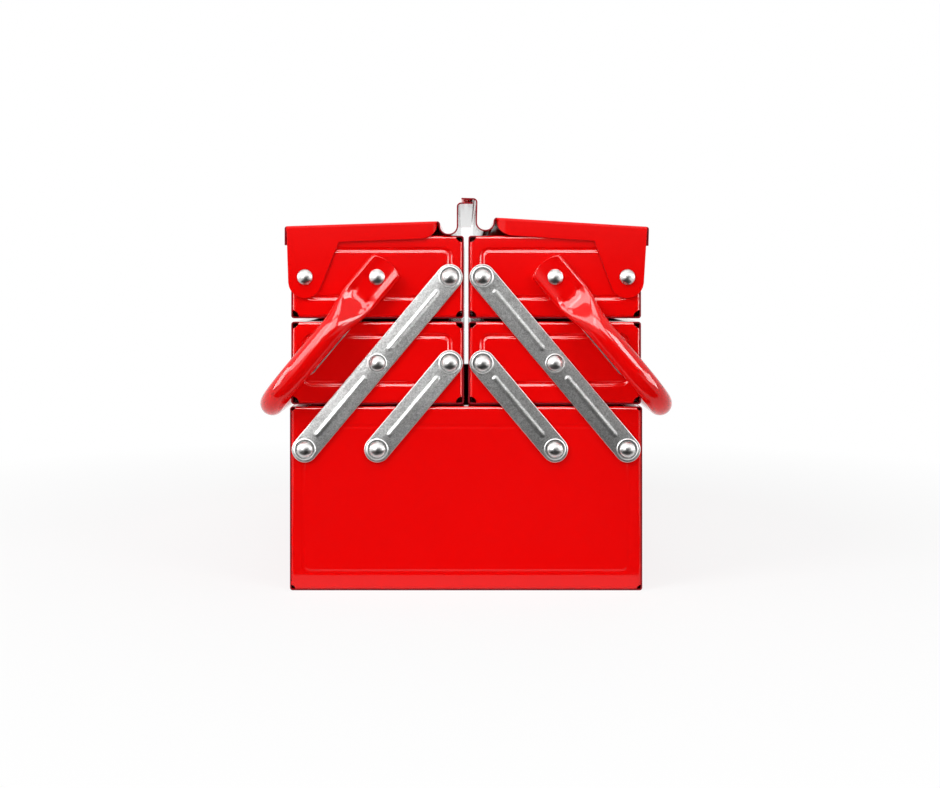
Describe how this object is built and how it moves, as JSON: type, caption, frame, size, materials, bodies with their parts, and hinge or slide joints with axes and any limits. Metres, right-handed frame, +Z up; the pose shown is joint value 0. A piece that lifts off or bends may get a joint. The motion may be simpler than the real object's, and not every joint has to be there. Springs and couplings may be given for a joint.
{
  "type": "cantilever tool box",
  "caption": "Steel cantilever tool box whose stacked trays swing out to both sides on parallel links, with hinged lids that meet in a centre ridge and folding bail handles.",
  "frame": {"origin": "centre of the box at the level of the surface that it stands on", "axes": "+Z up, +Y along the box's length towards its rear end, +X to the right seen from the front end"},
  "size_m": [0.237, 0.4574, 0.2227],
  "materials": {
    "red_enamel": "gloss red enamel on folded steel sheet and tube",
    "zinc_plating": "bright zinc plating with a fine speckle",
    "rivet_plating": "bright nickel plating, softly polished"
  },
  "bodies": {
    "bottom_box": {"box_wall": "red_enamel", "box_end_front": "red_enamel", "box_end_rear": "red_enamel", "box_rivets": "rivet_plating"},
    "left_long_links": {"left_long_link_front": "zinc_plating", "left_long_link_rear": "zinc_plating"},
    "left_short_links": {"left_short_link_front": "zinc_plating", "left_short_link_rear": "zinc_plating"},
    "left_tie_links": {"left_tie_link_front": "zinc_plating", "left_tie_link_rear": "zinc_plating"},
    "left_mid_tray_body": {"left_mid_tray": "red_enamel", "left_mid_tray_end_front": "red_enamel", "left_mid_tray_end_rear": "red_enamel", "left_mid_tray_rivets": "rivet_plating"},
    "left_top_tray_body": {"left_top_tray": "red_enamel", "left_top_tray_end_front": "red_enamel", "left_top_tray_end_rear": "red_enamel", "left_top_tray_rivets": "rivet_plating", "left_handle_rivets": "rivet_plating", "left_lid_rivets": "rivet_plating"},
    "left_lid": {"left_lid": "red_enamel"},
    "left_handle": {"left_handle": "red_enamel"},
    "right_long_links": {"right_long_link_front": "zinc_plating", "right_long_link_rear": "zinc_plating"},
    "right_short_links": {"right_short_link_front": "zinc_plating", "right_short_link_rear": "zinc_plating"},
    "right_tie_links": {"right_tie_link_front": "zinc_plating", "right_tie_link_rear": "zinc_plating"},
    "right_mid_tray_body": {"right_mid_tray": "red_enamel", "right_mid_tray_end_front": "red_enamel", "right_mid_tray_end_rear": "red_enamel", "right_mid_tray_rivets": "rivet_plating"},
    "right_top_tray_body": {"right_top_tray": "red_enamel", "right_top_tray_end_front": "red_enamel", "right_top_tray_end_rear": "red_enamel", "right_top_tray_rivets": "rivet_plating", "right_handle_rivets": "rivet_plating", "right_lid_rivets": "rivet_plating"},
    "right_lid": {"right_lid": "red_enamel"},
    "right_handle": {"right_handle": "red_enamel"}
  },
  "joints": [
    {"name": "left_cantilever", "type": "hinge", "parent": "bottom_box", "child": "left_long_links", "pos_m": [-0.0913, 0, 0.08025], "axis": [0, -1, 0], "range_deg": [0, 80]},
    {"name": "left_short_link_pivot", "type": "hinge", "parent": "bottom_box", "child": "left_short_links", "pos_m": [-0.0503, 0, 0.08025], "axis": [0, -1, 0], "range_deg": [0, 80]},
    {"name": "left_mid_tray_pivot", "type": "hinge", "parent": "left_long_links", "child": "left_mid_tray_body", "pos_m": [-0.0503, 0, 0.12905], "axis": [0, -1, 0], "range_deg": [-80, 0]},
    {"name": "left_top_tray_pivot", "type": "hinge", "parent": "left_long_links", "child": "left_top_tray_body", "pos_m": [-0.0093, 0, 0.17785], "axis": [0, -1, 0], "range_deg": [-80, 0]},
    {"name": "left_tie_link_pivot", "type": "hinge", "parent": "left_mid_tray_body", "child": "left_tie_links", "pos_m": [-0.0913, 0, 0.12905], "axis": [0, -1, 0], "range_deg": [0, 80]},
    {"name": "left_lid_hinge", "type": "hinge", "parent": "left_top_tray_body", "child": "left_lid", "pos_m": [-0.0913, 0, 0.17785], "axis": [0, -1, 0], "range_deg": [0, 118]},
    {"name": "left_handle_hinge", "type": "hinge", "parent": "left_top_tray_body", "child": "left_handle", "pos_m": [-0.0503, 0, 0.17785], "axis": [0, 1, 0], "range_deg": [0, 166]},
    {"name": "right_cantilever", "type": "hinge", "parent": "bottom_box", "child": "right_long_links", "pos_m": [0.0913, 0, 0.08025], "axis": [0, 1, 0], "range_deg": [0, 80]},
    {"name": "right_short_link_pivot", "type": "hinge", "parent": "bottom_box", "child": "right_short_links", "pos_m": [0.0503, 0, 0.08025], "axis": [0, 1, 0], "range_deg": [0, 80]},
    {"name": "right_mid_tray_pivot", "type": "hinge", "parent": "right_long_links", "child": "right_mid_tray_body", "pos_m": [0.0503, 0, 0.12905], "axis": [0, 1, 0], "range_deg": [-80, 0]},
    {"name": "right_top_tray_pivot", "type": "hinge", "parent": "right_long_links", "child": "right_top_tray_body", "pos_m": [0.0093, 0, 0.17785], "axis": [0, 1, 0], "range_deg": [-80, 0]},
    {"name": "right_tie_link_pivot", "type": "hinge", "parent": "right_mid_tray_body", "child": "right_tie_links", "pos_m": [0.0913, 0, 0.12905], "axis": [0, 1, 0], "range_deg": [0, 80]},
    {"name": "right_lid_hinge", "type": "hinge", "parent": "right_top_tray_body", "child": "right_lid", "pos_m": [0.0913, 0, 0.17785], "axis": [0, 1, 0], "range_deg": [0, 118]},
    {"name": "right_handle_hinge", "type": "hinge", "parent": "right_top_tray_body", "child": "right_handle", "pos_m": [0.0503, 0, 0.17785], "axis": [0, -1, 0], "range_deg": [0, 166]}
  ],
  "couplings": [
    {"joint": "left_short_link_pivot", "follows": "left_cantilever", "ratio": 1},
    {"joint": "left_mid_tray_pivot", "follows": "left_cantilever", "ratio": -1},
    {"joint": "left_top_tray_pivot", "follows": "left_cantilever", "ratio": -1},
    {"joint": "left_tie_link_pivot", "follows": "left_cantilever", "ratio": 1},
    {"joint": "right_short_link_pivot", "follows": "right_cantilever", "ratio": 1},
    {"joint": "right_mid_tray_pivot", "follows": "right_cantilever", "ratio": -1},
    {"joint": "right_top_tray_pivot", "follows": "right_cantilever", "ratio": -1},
    {"joint": "right_tie_link_pivot", "follows": "right_cantilever", "ratio": 1}
  ]
}
